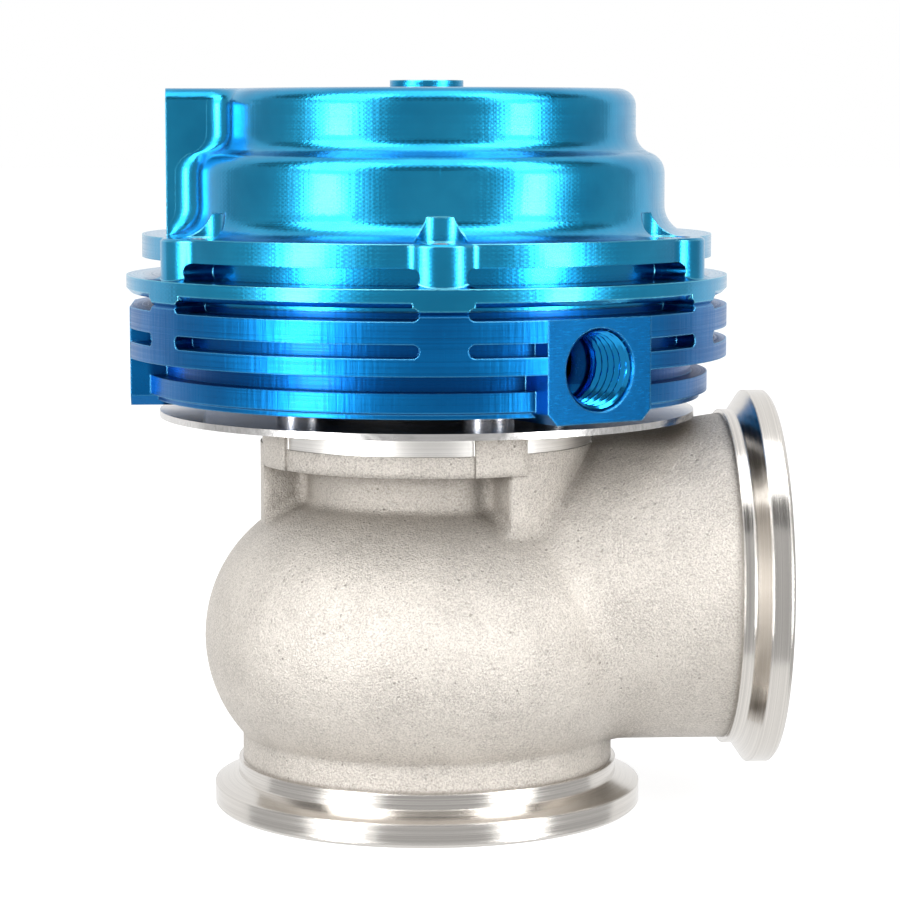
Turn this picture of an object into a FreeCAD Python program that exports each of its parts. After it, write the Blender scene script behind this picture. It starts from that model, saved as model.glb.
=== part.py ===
"""Diaphragm-actuated external exhaust wastegate with V-band inlet and outlet.

Millimetres.  Z runs along the valve's axis, with z = 0 on the face of the inlet flange.
The outlet leaves along +X.  Angles about Z are measured from -Y towards +X, so that 0 is the front.
"""
import FreeCAD, Part
import math
import os
from FreeCAD import Vector

os.makedirs("parts", exist_ok=True)

Z_AXIS = Vector(0, 0, 1)
X_AXIS = Vector(1, 0, 0)
ORIGIN = Vector(0, 0, 0)

# ---------------------------------------------------------------- driving dimensions
# clearances
run_clear = 0.04            # stem in its guide
slip_clear = 0.12           # loose bores over the stem
seat_clear = 0.15           # between the closed valve and its seat
screw_clear = 0.25          # radial room round a screw's shank
thread_clear = 0.02         # between a screw and its tapped hole
head_clear = 0.15           # room round and above a screw head in its pocket
seal_clear = 0.02           # a seal in its groove
cover_clear = 0.05          # jacket cover in its seat

# V-band flanges
inlet_rim_r = 33.75
inlet_rim_h = 3.6
outlet_rim_r = 29.65
outlet_rim_h = 3.5
rim_chamfer = 0.5
inlet_slope = 20.0          # degrees, back face of the inlet flange
outlet_slope = 34.0         # and of the outlet flange
neck_ring_step = 0.7        # height of the turned band behind each cone
tube_ring_gap = 0.1         # the outlet's turned band over the tube, beyond that step
inlet_ring_w = 2.4
outlet_ring_w = 1.8

# seat and valve
seat_bore_r = 20.5
seat_outer_r = 25.0
seat_h = 9.0
seat_face_w = 1.6           # radial and axial width of the 45 degree seat
valve_margin = 1.6
valve_back_h = 10.4         # rise of the curved back of the head
valve_dish = 1.4            # depth of the recess in the head's lower face
stem_r = 4.0
stem_thread_r = 3.0
throat_clear = 1.2

# valve housing
wall = 4.2
neck_r = 29.3
neck_top = 7.5
bulb_r = 35.2               # largest radius of the round chamber
bulb_z = 27.0               # height of that radius
bulb_arc_r = 22.7           # radius of the chamber's meridian
column_r = 26.3             # cast column under the round top flange
machined_step = 0.3         # how much the turned band lies inside the casting
machined_h = 4.2
flange_h = 7.4
housing_top = 62.05
pocket_r = 19.6             # bottom of the pockets under the flange
pocket_round = 2.0          # inner corners
pocket_foot = 1.8           # sweep from the pocket's back wall into the chamber
pocket_from = -78.0
pocket_to = 26.0
lug_w = 8.7
lug_out = 0.3
outlet_z = 35.7
outlet_face_x = 54.05
tube_r = 25.8               # at the flange's turned band
tube_taper = 3.4            # radius lost from there to the valve's axis
tube_sink = 3.4             # how far its middle lies lower at the valve's axis
tube_wall = 3.4
tube_blend = 9.0
guide_boss_r = 10.0
guide_boss_l = 24.0         # below the flange's top face

# stem guide
guide_r = 7.0
guide_collar_r = 8.6
guide_collar_h = 1.5
guide_l = 25.0

# heat shield, stand-offs, insulator and mounting screws
shield_r = 42.0
shield_t = 1.0
standoff_h = 2.15
standoff_r = 4.0
insulator_r = 17.0
mount_circle_r = 21.5
mount_screw_r = 2.5
mount_head_r = 4.25
mount_head_h = 5.0
mount_screw_l = 16.0
mount_socket_af = 4.0
mount_count = 4
mount_first = 22.5

# actuator body, heights from its lower face upwards
body_r = 47.0
fin_r = 44.0                # lowest fin
lip_h = 1.0
lip_in = 1.2
fin_h = 2.9
low_groove_h = 2.6
low_groove_depth = 5.5
land_h = 2.6
mid_groove_h = 2.0
mid_groove_depth = 3.2
top_land_h = 3.3
joint_groove_low = 1.0      # how far the groove at the joint reaches into the body
joint_groove_high = 0.9     # and into the cap
joint_groove_depth = 5.5
joint_bevel = 0.4           # bevel on both rims at the joint
chamber_r = 34.1
chamber_floor_t = 4.1
island_r = 26.5
island_drop = 4.0           # top of the island below the joint
bridge_w = 8.0

# coolant channel and its cover
channel_in_r = 10.0
channel_out_r = 14.4
channel_h = 4.4
cover_in_r = 8.8
cover_out_r = 15.8
cover_t = 2.2
oring_d = 1.3

# ports of the body
port_step = 0.85            # how far each port's flat stands inside the body's radius
port_flat_w = 18.4
port_drop = 0.9             # how far a port boss hangs below the lower face
port_corner = 1.6
port_r = 5.25
port_mouth = 0.95           # width of the chamfer at its mouth
port_depth = 10.6
port_rise = 6.85            # centre above the lower face
air_bore_r = 2.4
water_bore_r = 1.9
air_port = 30.0
water_ports = (150.0, 270.0)

# stem seal
seal_r = 7.0
seal_h = 3.6
seal_floor_t = 3.4
retainer_h = 1.2
circlip_h = 1.0
circlip_bite = 0.6
circlip_w = 1.9

# actuator cap, heights from the joint upwards
fin_step = 2.5              # how far the cap's top fin stands inside the body's radius
low_fin_h = 3.7
cap_groove_h = 2.7
cap_groove_depth = 4.5
top_fin_h = 3.5
fin_bevel = 0.75
fin_sweep = 2.4             # concave sweep between the two fins at the posts
bell_low_r = 37.2
bell_high_r = 32.65
bell_height = 32.3
bell_flare = 4.4            # concave sweep from the flange into the bell
bell_shoulder = 19.2        # start of the curved shoulder
bell_curve = 3.4
bell_edge = 2.7
bell_wall = 3.1
roof_t = 4.6
pad_r = 8.0
pad_h = 1.3
post_count = 6
post_half_w = 3.3           # from a post's middle to the full depth of the grooves beside it
lobe_r = 5.8                # round lobe on the cap at each screw
lobe_sweep = 3.0            # concave sweep from the lobe into the top fin
lobe_bevel = 0.35
cap_screw_circle_r = 40.6
cap_screw_r = 2.0
cap_head_r = 3.5
cap_head_h = 3.0
cap_screw_l = 14.0
cap_socket_af = 3.0
spotface_r = 3.9
spotface_h = 3.6
boss_x = 40.4               # end face of the cap's port boss
boss_w = 18.6
boss_edge = 2.4
boss_sink = 1.0             # how far the slab reaches into the flange
cap_port = 270.0
cap_port_r = 4.3
cap_port_mouth = 0.8
cap_port_depth = 6.5
cap_port_drop = 11.0        # centre below the cap's top
cap_air_r = 2.2

# diaphragm and what clamps it
diaphragm_t = 1.2
clamp_r = 38.0
roll_clear = 0.1
roll_width = 5.4            # between the middles of the roll's two legs
plate_step = 0.5            # how far the plate stands inside the cup's radius
plate_t = 1.6
plate_gap = 0.7             # stem shoulder above the island
cup_clear = 0.9             # between the cup and the roll's inner leg
cup_t = 1.8
cup_wall = 1.5
cup_h = 7.0
washer_r = 7.0
washer_t = 1.2
nut_af = 10.0
nut_h = 5.0
thread_stub = 1.2

# motion
valve_lift = 9.0

# springs
outer_wire_r = 1.6
middle_wire_r = 1.35
inner_wire_r = 1.15
outer_coils = 4.0
middle_coils = 4.5
inner_coils = 5.0
spring_cup_gap = 1.0        # between the outer spring and the cup's wall
spring_gap = 2.5            # between one spring and the next

# ---------------------------------------------------------------- derived heights and places
seat_land_z = seat_h - seat_face_w
outlet_band_r = tube_r + tube_ring_gap + neck_ring_step
outlet_cone_h = (outlet_rim_r - outlet_band_r) * math.tan(math.radians(outlet_slope))
cap_fin_r = body_r - fin_step
port_flat = body_r - port_step
pocket_foot_z = bulb_z + math.sqrt(bulb_arc_r ** 2 - (pocket_r - bulb_r + bulb_arc_r) ** 2)
tube_end_x = outlet_face_x - outlet_rim_h - outlet_cone_h - outlet_ring_w
valve_z = seat_land_z + seat_clear
valve_r = seat_bore_r + seat_face_w - seat_clear
flange_z = housing_top - flange_h
shield_z = housing_top
standoff_z = shield_z + shield_t
body_z = standoff_z + standoff_h
fin_z = body_z + lip_h
low_groove_z = fin_z + fin_h
land_z = low_groove_z + low_groove_h
mid_groove_z = land_z + land_h
top_land_z = mid_groove_z + mid_groove_h
joint_groove_z = top_land_z + top_land_h
joint_z = joint_groove_z + joint_groove_low
island_z = joint_z - island_drop
floor_z = body_z + chamber_floor_t
port_z = body_z + port_rise
channel_z = island_z - cover_t - channel_h
seal_z = body_z + seal_floor_t
cap_groove_z = joint_z + low_fin_h
top_fin_z = cap_groove_z + cap_groove_h
flange_top_z = top_fin_z + top_fin_h
cap_top_z = joint_z + bell_height
roof_z = cap_top_z - roof_t
shoulder_z = island_z + plate_gap
diaphragm_z = shoulder_z + plate_t
cup_z = diaphragm_z + diaphragm_t
spring_z = cup_z + cup_t
nut_z = spring_z + washer_t
stem_top_z = nut_z + nut_h + thread_stub
clamp_z = joint_z - diaphragm_t / 2
roll_out_r = min(chamber_r, bell_low_r - bell_wall) - roll_clear - diaphragm_t / 2
roll_in_r = roll_out_r - roll_width
cup_r = roll_in_r - diaphragm_t / 2 - cup_clear
plate_r = cup_r - plate_step
outer_spring_r = cup_r - cup_wall - spring_cup_gap - outer_wire_r
middle_spring_r = outer_spring_r - outer_wire_r - spring_gap - middle_wire_r
inner_spring_r = middle_spring_r - middle_wire_r - spring_gap - inner_wire_r
cap_head_z = flange_top_z - cap_head_h - head_clear
mount_head_z = island_z - mount_head_h - head_clear
post_angles = [360.0 / post_count * i for i in range(post_count)]
mount_angles = [mount_first + 360.0 / mount_count * i for i in range(mount_count)]


# ---------------------------------------------------------------- helpers
def around(angle, r, z=0.0):
    """The point at radius r and height z, at an angle from -Y towards +X."""
    t = math.radians(angle)
    return Vector(r * math.sin(t), -r * math.cos(t), z)


def outward(angle):
    return around(angle, 1.0)


def lathe(points):
    """Turn a closed (r, z) outline about the Z axis."""
    wire = Part.makePolygon([Vector(r, 0, z) for r, z in points + points[:1]])
    return Part.Face(wire).revolve(ORIGIN, Z_AXIS, 360)


def lathe_wire(edges):
    """Turn a closed outline of edges, drawn in the XZ plane, about the Z axis."""
    return Part.Face(Part.Wire(Part.__sortEdges__(edges))).revolve(ORIGIN, Z_AXIS, 360)


def line(a, b):
    return Part.LineSegment(Vector(a[0], 0, a[1]), Vector(b[0], 0, b[1])).toShape()


def arc(a, middle, b):
    points = [Vector(p[0], 0, p[1]) for p in (a, middle, b)]
    return Part.Arc(*points).toShape()


def disc(r, z, h):
    return Part.makeCylinder(r, h, Vector(0, 0, z))


def ring(inner, outer, z, h):
    return disc(outer, z, h).cut(disc(inner, z - 1, h + 2))


def spin(shape, angle):
    turned = shape.copy()
    turned.rotate(ORIGIN, Z_AXIS, angle)
    return turned


def radial_cylinder(angle, r_from, r_to, z, radius):
    return Part.makeCylinder(radius, r_to - r_from, around(angle, r_from, z), outward(angle))


def radial_box(angle, r_from, r_to, width, z, h):
    """A box across the radius at an angle, built at the front and turned."""
    block = Part.makeBox(width, r_to - r_from, h, Vector(-width / 2, -r_to, z))
    return spin(block, angle)


def sector(inner, outer, z, h, start, end):
    """A part of a ring between two angles."""
    wire = Part.makePolygon([
        Vector(0, -inner, z),
        Vector(0, -outer, z),
        Vector(0, -outer, z + h),
        Vector(0, -inner, z + h),
        Vector(0, -inner, z),
    ])
    face = Part.Face(wire)
    face.rotate(ORIGIN, Z_AXIS, start)
    return face.revolve(ORIGIN, Z_AXIS, end - start)


def save(name, shape):
    shape.exportStep("parts/" + name + ".step")
    print(name, "solids", len(shape.Solids), "valid", shape.isValid(), "volume", round(shape.Volume, 1))


def group(shapes):
    return Part.makeCompound(shapes)


def slot_groove(start, end, z, h, outer, depth):
    """A groove along the rim between two angles, round at both ends like the cutter."""
    root = outer - depth
    past = 4.0
    body = sector(root, outer + past, z, h, start, end)
    ends = [radial_cylinder(a, root, outer + past, z + h / 2, h / 2) for a in (start, end)]
    return body.fuse(ends)


def post_gaps(half_w, groove_h):
    """The spans of angle between neighbouring screw posts, for a groove with round ends."""
    half = math.degrees((half_w + groove_h / 2) / cap_fin_r)
    step = 360.0 / post_count
    return [(a + half, a + step - half) for a in post_angles]


# ---------------------------------------------------------------- valve housing
def chamber(offset, z_low):
    """The round chamber's outer form, or its inside when offset is the wall."""
    arc_r = bulb_arc_r - offset
    centre_r = bulb_r - bulb_arc_r
    low = math.asin(min(1.0, (bulb_z - z_low) / arc_r))

    def at(angle):
        return centre_r + arc_r * math.cos(angle), bulb_z + arc_r * math.sin(angle)

    start, side, top = at(-low), at(0), at(math.pi / 2)
    edges = [
        line((0, start[1]), start),
        arc(start, at(-low / 2), side),
        arc(side, at(math.pi / 4), top),
        line(top, (0, top[1])),
        line((0, top[1]), (0, start[1])),
    ]
    return lathe_wire(edges)


def vband(rim_r, rim_h, slope, band_r, ring_w):
    """A V-band flange on the Z axis, its face at z = 0 and its turned band last."""
    cone_h = (rim_r - band_r) * math.tan(math.radians(slope))
    return lathe([
        (0, 0),
        (rim_r - rim_chamfer, 0),
        (rim_r, rim_chamfer),
        (rim_r, rim_h),
        (band_r, rim_h + cone_h),
        (band_r, rim_h + cone_h + ring_w),
        (0, rim_h + cone_h + ring_w),
    ])


def to_outlet(shape):
    """Lay a shape turned about Z onto the outlet's axis, with its z = 0 on the outlet's face."""
    moved = shape.copy()
    moved.rotate(ORIGIN, Vector(0, 1, 0), -90)
    moved.translate(Vector(outlet_face_x, 0, outlet_z))
    return moved


def outlet_tube(offset):
    """The tube from the chamber into the outlet flange, its lower side level and its upper side
    rising; as a hollow, also the turned bore through the flange."""
    big = tube_r - offset
    start = Vector(0, 0, outlet_z - tube_sink)
    end = Vector(tube_end_x, 0, outlet_z)
    length = (end - start).Length
    share = 1 + outlet_ring_w / length
    small = big - tube_taper
    cone = Part.makeCone(small, small + tube_taper * share, length * share, start, end - start)
    if not offset:
        return cone
    bore = Part.makeCylinder(big + machined_step, outlet_face_x - tube_end_x + 1, end, X_AXIS)
    return cone.fuse(bore)


def pocket(start):
    """One pocket under the flange, with rounded inner corners."""
    low = bulb_z + bulb_arc_r / 2
    cut = sector(pocket_r, column_r + 4, low, flange_z - low, start, start + pocket_to - pocket_from)
    corners = [
        e for e in cut.Edges
        if e.BoundBox.ZLength > 5 and math.hypot(e.CenterOfMass.x, e.CenterOfMass.y) < pocket_r + 0.5
    ]
    return cut.makeFillet(pocket_round, corners)


def column():
    """The cast column and the flange on it, with four lugs and the pockets under the flange."""
    machined_z = housing_top - machined_h
    body = disc(column_r, bulb_z, machined_z - bulb_z)
    body = body.fuse(disc(column_r - machined_step, machined_z, machined_h))
    for angle in mount_angles:
        lug = radial_box(angle, mount_circle_r, column_r + 2, lug_w, flange_z, flange_h)
        body = body.fuse(lug.common(disc(column_r + lug_out, flange_z, flange_h)))
    far_side = 180.0 - pocket_to - pocket_from
    for start in (pocket_from, pocket_from + far_side):
        body = body.cut(pocket(start))
    return body


def valve_housing():
    solid = chamber(0, neck_top)
    solid = solid.fuse(outlet_tube(0))
    blend = [
        e for e in solid.Edges
        if e.Curve.TypeId == "Part::GeomBSplineCurve" and e.BoundBox.XMax > 5 and e.BoundBox.ZLength > 5
    ]
    solid = solid.makeFillet(tube_blend, blend)
    neck = disc(neck_r, inlet_rim_h, bulb_z - bulb_arc_r / 2 - inlet_rim_h)
    inlet = vband(inlet_rim_r, inlet_rim_h, inlet_slope, neck_r + neck_ring_step, inlet_ring_w)
    outlet = to_outlet(vband(outlet_rim_r, outlet_rim_h, outlet_slope, outlet_band_r, outlet_ring_w))
    solid = solid.fuse([column(), neck, inlet, outlet])
    feet = [
        e for e in solid.Edges
        if abs(e.BoundBox.ZMax - pocket_foot_z) < 0.1 and e.BoundBox.ZLength < 0.1
        and e.BoundBox.DiagonalLength > pocket_r / 2
        and math.hypot(e.CenterOfMass.x, e.CenterOfMass.y) < pocket_r
    ]
    solid = solid.makeFillet(pocket_foot, feet)

    boss = disc(guide_boss_r, housing_top - guide_boss_l, guide_boss_l)
    ceiling = disc(column_r, flange_z - 1, flange_h + 5)
    throat = disc(seat_bore_r + seat_face_w + throat_clear, seat_h - 0.5, bulb_z - bulb_arc_r / 2 - seat_h)
    hollow = chamber(wall, seat_h).fuse([outlet_tube(tube_wall), throat]).cut([boss, ceiling])
    guide_hole = disc(guide_r, housing_top - guide_boss_l - 1, guide_boss_l + 2)
    guide_hole = guide_hole.fuse(disc(guide_collar_r, housing_top - guide_collar_h, guide_collar_h + 1))
    solid = solid.cut([hollow, disc(seat_outer_r, -1, seat_h + 1), guide_hole])
    depth = mount_screw_l - (mount_head_z - housing_top) + 0.4
    for angle in mount_angles:
        at = around(angle, mount_circle_r, housing_top - depth)
        solid = solid.cut(Part.makeCylinder(mount_screw_r + thread_clear, depth + 5, at))
    return solid


def valve_seat():
    """The pressed-in ring that the valve closes on."""
    return lathe([
        (seat_bore_r, 0),
        (seat_outer_r, 0),
        (seat_outer_r, seat_h),
        (seat_bore_r + seat_face_w, seat_h),
        (seat_bore_r, seat_land_z),
    ])


def valve():
    """Head, tapered back and stem in one piece, with a shoulder and a thread for the actuator."""
    low_r = valve_r - seat_face_w + seat_clear
    margin_z = valve_z + seat_face_w
    back_z = margin_z + valve_margin
    neck = (stem_r, back_z + valve_back_h)
    outline = [
        line((0, valve_z + valve_dish), (low_r - 6.0, valve_z + valve_dish)),
        line((low_r - 6.0, valve_z + valve_dish), (low_r - 4.0, valve_z)),
        line((low_r - 4.0, valve_z), (low_r, valve_z)),
        line((low_r, valve_z), (valve_r, margin_z)),
        line((valve_r, margin_z), (valve_r, back_z)),
        line((valve_r, back_z), (valve_r - 2.5, back_z + 0.4)),
        arc((valve_r - 2.5, back_z + 0.4), (stem_r + 4.2, back_z + 3.2), neck),
        line(neck, (stem_r, shoulder_z)),
        line((stem_r, shoulder_z), (stem_thread_r, shoulder_z)),
        line((stem_thread_r, shoulder_z), (stem_thread_r, stem_top_z - 0.6)),
        line((stem_thread_r, stem_top_z - 0.6), (stem_thread_r - 0.6, stem_top_z)),
        line((stem_thread_r - 0.6, stem_top_z), (0, stem_top_z)),
        line((0, stem_top_z), (0, valve_z + valve_dish)),
    ]
    return lathe_wire(outline)


def stem_guide():
    body = disc(guide_r, housing_top - guide_l, guide_l)
    body = body.fuse(disc(guide_collar_r, housing_top - guide_collar_h, guide_collar_h))
    return body.cut(disc(stem_r + run_clear, housing_top - guide_l - 1, guide_l + 2))


# ---------------------------------------------------------------- shield and stand-offs
def mount_holes(radius, z, h):
    return [Part.makeCylinder(radius, h, around(a, mount_circle_r, z)) for a in mount_angles]


def heat_shield():
    plate = ring(stem_r + 1.5, shield_r, shield_z, shield_t)
    return plate.cut(mount_holes(mount_screw_r + screw_clear, shield_z - 1, shield_t + 2))


def standoffs():
    tubes = mount_holes(standoff_r, standoff_z, standoff_h)
    bores = mount_holes(mount_screw_r + screw_clear, standoff_z - 1, standoff_h + 2)
    return group([t.cut(b) for t, b in zip(tubes, bores)])


def insulator():
    return ring(stem_r + 1.5, insulator_r, standoff_z, standoff_h)


def socket_screw(shank_r, length, head_r, head_h, socket_af):
    """A socket head screw on the Z axis, its head's seat at z = 0 and its tip below."""
    shank = Part.makeCylinder(shank_r, length, Vector(0, 0, -length))
    tip = [e for e in shank.Edges if abs(e.CenterOfMass.z + length) < 0.01]
    head = Part.makeCylinder(head_r, head_h)
    rim = [e for e in head.Edges if abs(e.CenterOfMass.z - head_h) < 0.01]
    body = head.makeChamfer(head_h * 0.1, rim).fuse(shank.makeChamfer(shank_r * 0.25, tip))
    return body.cut(hex_prism(socket_af, head_h * 0.45, head_h * 0.6))


def hex_prism(across_flats, z, h):
    corner = across_flats / math.sqrt(3)
    turns = [i * math.pi / 3 for i in range(7)]
    points = [Vector(corner * math.cos(t), corner * math.sin(t), z) for t in turns]
    return Part.Face(Part.makePolygon(points)).extrude(Vector(0, 0, h))


def mount_screws():
    screws = []
    for angle in mount_angles:
        screw = socket_screw(mount_screw_r, mount_screw_l, mount_head_r, mount_head_h, mount_socket_af)
        screw.translate(around(angle, mount_circle_r, mount_head_z))
        screws.append(screw)
    return group(screws)


# ---------------------------------------------------------------- actuator body
def port_bore(angle, bore_r, bore_to):
    """A threaded port's core, chamfered at the mouth, coned at the bottom, with a bore beyond."""
    tip = port_flat - port_depth
    mouth = Part.makeCone(port_r, port_r + port_mouth + 1.0, port_mouth + 1.0,
                          around(angle, port_flat - port_mouth, port_z), outward(angle))
    core = radial_cylinder(angle, tip, port_flat + 3, port_z, port_r)
    seat = Part.makeCone(bore_r, port_r, port_r - bore_r,
                         around(angle, tip - (port_r - bore_r), port_z), outward(angle))
    bore = radial_cylinder(angle, bore_to, tip, port_z, bore_r)
    return [mouth, core, seat, bore]


def port_boss(angle):
    """The flat-faced block that carries one port, hanging a little below the lower face."""
    low = body_z - port_drop
    block = Part.makeBox(port_flat_w, port_flat - chamber_r - 1, joint_groove_z - low,
                         Vector(-port_flat_w / 2, -port_flat, low))
    corners = [
        e for e in block.Edges
        if abs(e.CenterOfMass.z - low) < 0.01 and e.BoundBox.YLength > 5
    ]
    block = block.makeChamfer(port_corner, corners)
    return spin(block, angle)


def actuator_body():
    groove_r = body_r - low_groove_depth
    blank = lathe([
        (0, body_z),
        (fin_r - lip_in, body_z),
        (fin_r - lip_in, fin_z - 0.3),
        (fin_r, fin_z),
        (fin_r, low_groove_z),
        (groove_r, low_groove_z),
        (groove_r, land_z),
        (body_r, land_z),
        (body_r, joint_z - joint_bevel),
        (body_r - joint_bevel, joint_z),
        (0, joint_z),
    ])
    for start, end in post_gaps(post_half_w, mid_groove_h):
        blank = blank.cut(slot_groove(start, end, mid_groove_z, mid_groove_h, body_r, mid_groove_depth))
    ports = (air_port,) + water_ports
    blank = blank.fuse([port_boss(a) for a in ports])
    beyond = [radial_box(a, port_flat, body_r + 5, 3 * port_flat_w, body_z - 5, joint_groove_z - body_z + 5)
              for a in ports]
    blank = blank.cut(beyond)
    for start, end in post_gaps(post_half_w, joint_groove_low * 2):
        blank = blank.cut(slot_groove(start, end, joint_groove_z, joint_groove_low * 2, body_r,
                                      joint_groove_depth))

    hollow = ring(island_r, chamber_r, floor_z, joint_z - floor_z + 1)
    hollow = hollow.fuse(disc(chamber_r, island_z, joint_z - island_z + 1))
    for angle in water_ports:
        hollow = hollow.cut(radial_box(angle, island_r - 1, chamber_r + 1, bridge_w, floor_z - 1,
                                       island_z - floor_z + 1))
    clamp_seat = disc(clamp_r + seal_clear, clamp_z, diaphragm_t)
    body = blank.cut([hollow, clamp_seat])
    body = body.cut([
        ring(channel_in_r, channel_out_r, channel_z, channel_h + 1),
        ring(cover_in_r - cover_clear, cover_out_r + cover_clear, channel_z + channel_h, cover_t + 1),
        disc(stem_r + slip_clear, body_z - 1, 20),
        disc(seal_r, seal_z, island_z - seal_z + 1),
        disc(seal_r + circlip_bite, seal_z + seal_h + retainer_h, circlip_h),
    ])
    body = body.cut(port_bore(air_port, air_bore_r, island_r + 2))
    for angle in water_ports:
        body = body.cut(port_bore(angle, water_bore_r, (channel_in_r + channel_out_r) / 2))
    body = body.cut(mount_holes(mount_screw_r + screw_clear, body_z - 1, 20))
    body = body.cut(mount_holes(mount_head_r + head_clear, mount_head_z, 20))
    for angle in post_angles:
        depth = cap_screw_l - (cap_head_z - joint_z) + 1
        at = around(angle, cap_screw_circle_r, joint_z - depth)
        body = body.cut(Part.makeCylinder(cap_screw_r + thread_clear, depth + 1, at))
    return body


def jacket_cover():
    """The ring that closes the coolant channel, grooved for an O-ring inside and outside."""
    z = channel_z + channel_h
    groove_z = z + (cover_t - oring_d) / 2 - seal_clear
    groove_h = oring_d + 2 * seal_clear
    body = ring(cover_in_r, cover_out_r, z, cover_t)
    outer = ring(cover_out_r - oring_d - seal_clear, cover_out_r + 1, groove_z, groove_h)
    inner = ring(cover_in_r - 1, cover_in_r + oring_d + seal_clear, groove_z, groove_h)
    return body.cut([outer, inner])


def jacket_oring(radius):
    return Part.makeTorus(radius, oring_d / 2, Vector(0, 0, channel_z + channel_h + cover_t / 2))


def stem_seal():
    """A lip seal: a thick ring with a V-shaped pressure groove in its upper face."""
    bore = stem_r + run_clear
    middle = (bore + seal_r) / 2
    return lathe([
        (bore, seal_z),
        (seal_r - seal_clear, seal_z),
        (seal_r - seal_clear, seal_z + seal_h),
        (middle + 0.7, seal_z + seal_h),
        (middle, seal_z + seal_h * 0.5),
        (middle - 0.7, seal_z + seal_h),
        (bore, seal_z + seal_h),
    ])


def seal_retainer():
    return ring(stem_r + slip_clear, seal_r - seal_clear, seal_z + seal_h, retainer_h)


def seal_circlip():
    z = seal_z + seal_h + retainer_h
    clip = ring(seal_r - circlip_w, seal_r + circlip_bite - seal_clear, z, circlip_h)
    gap = Part.makeBox(4, 12, circlip_h + 2, Vector(-2, 0, z - 1))
    return clip.cut(gap)


# ---------------------------------------------------------------- actuator cap
def s_curve(r_top, z_top, r_low, radius):
    """Two tangent arcs from a wall at r_top, ending at height z_top, out to a wall at r_low below."""
    half = (r_low - r_top) / 2
    drop = math.sqrt(radius ** 2 - (radius - half) ** 2)
    turn = math.acos((radius - half) / radius) / 2
    rise = radius * math.sin(turn)
    run = radius * (1 - math.cos(turn))
    middle = (r_top + half, z_top - drop)
    upper = arc((r_top, z_top), (r_top + run, z_top - rise), middle)
    end = (r_low, z_top - 2 * drop)
    lower = arc(middle, (r_low - run, end[1] + rise), end)
    return upper, lower, end


def quarter(start, end, centre):
    """The quarter circle from start to end about a centre."""
    radius = math.hypot(start[0] - centre[0], start[1] - centre[1])
    mx = (start[0] + end[0]) / 2 - centre[0]
    mz = (start[1] + end[1]) / 2 - centre[1]
    k = radius / math.hypot(mx, mz)
    return arc(start, (centre[0] + mx * k, centre[1] + mz * k), end)


def bell_outline():
    """The cap's outside, from the joint up over the fins and the two-tier bell to the top."""
    edge = bell_edge
    top = (bell_high_r - edge, cap_top_z)
    wall_top = (bell_high_r, cap_top_z - edge)
    drop = math.sqrt(bell_curve ** 2 - (bell_curve - (bell_low_r - bell_high_r) / 2) ** 2)
    step_top = joint_z + bell_shoulder + 2 * drop
    upper, lower, low_top = s_curve(bell_high_r, step_top, bell_low_r, bell_curve)
    flare_top = (bell_low_r, flange_top_z + bell_flare)
    flare_end = (bell_low_r + bell_flare, flange_top_z)
    sweep_top = (cap_fin_r, cap_groove_z + fin_sweep)
    sweep_end = (body_r, cap_groove_z + fin_sweep - (body_r - cap_fin_r))
    return [
        line((0, cap_top_z), top),
        quarter(top, wall_top, (bell_high_r - edge, cap_top_z - edge)),
        line(wall_top, (bell_high_r, step_top)),
        upper,
        lower,
        line(low_top, flare_top),
        quarter(flare_top, flare_end, (bell_low_r + bell_flare, flange_top_z + bell_flare)),
        line(flare_end, (cap_fin_r, flange_top_z)),
        line((cap_fin_r, flange_top_z), sweep_top),
        quarter(sweep_top, sweep_end, (body_r, sweep_top[1])),
        line(sweep_end, (body_r, joint_z + joint_bevel)),
        line((body_r, joint_z + joint_bevel), (body_r - joint_bevel, joint_z)),
        line((body_r - joint_bevel, joint_z), (0, joint_z)),
        line((0, joint_z), (0, cap_top_z)),
    ]


def lobed_fin():
    """The cap's top fin with a round lobe at each screw, each side swept into the fin."""
    lobe_reach = lobe_r + lobe_sweep
    fin_reach = cap_fin_r + lobe_sweep
    circle = cap_screw_circle_r
    across = fin_reach ** 2 + circle ** 2 - lobe_reach ** 2
    turn = math.degrees(math.acos(across / (2 * fin_reach * circle)))
    outline = []
    for angle in post_angles:
        middle = around(angle, circle)
        ends = []
        for side in (-1, 1):
            centre = around(angle + side * turn, fin_reach)
            on_fin = around(angle + side * turn, cap_fin_r)
            on_lobe = middle + (centre - middle) * (lobe_r / lobe_reach)
            inward = (on_fin + on_lobe) * 0.5 - centre
            on_sweep = centre + inward * (lobe_sweep / inward.Length)
            ends.append((on_fin, on_sweep, on_lobe))
        (fin_a, sweep_a, lobe_a), (fin_b, sweep_b, lobe_b) = ends
        step = 360.0 / post_count
        next_fin = around(angle + step - turn, cap_fin_r)
        outline += [
            Part.Arc(fin_a, sweep_a, lobe_a).toShape(),
            Part.Arc(lobe_a, around(angle, circle + lobe_r), lobe_b).toShape(),
            Part.Arc(lobe_b, sweep_b, fin_b).toShape(),
            Part.Arc(fin_b, around(angle + step / 2, cap_fin_r), next_fin).toShape(),
        ]
    low = cap_groove_z - low_fin_h / 4
    face = Part.Face(Part.Wire(Part.__sortEdges__(outline)))
    fin = face.extrude(Vector(0, 0, flange_top_z - low))
    fin.translate(Vector(0, 0, low))
    rim = [e for e in fin.Edges if e.BoundBox.ZMin > flange_top_z - 0.01]
    return fin.makeChamfer(lobe_bevel, rim)


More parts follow.
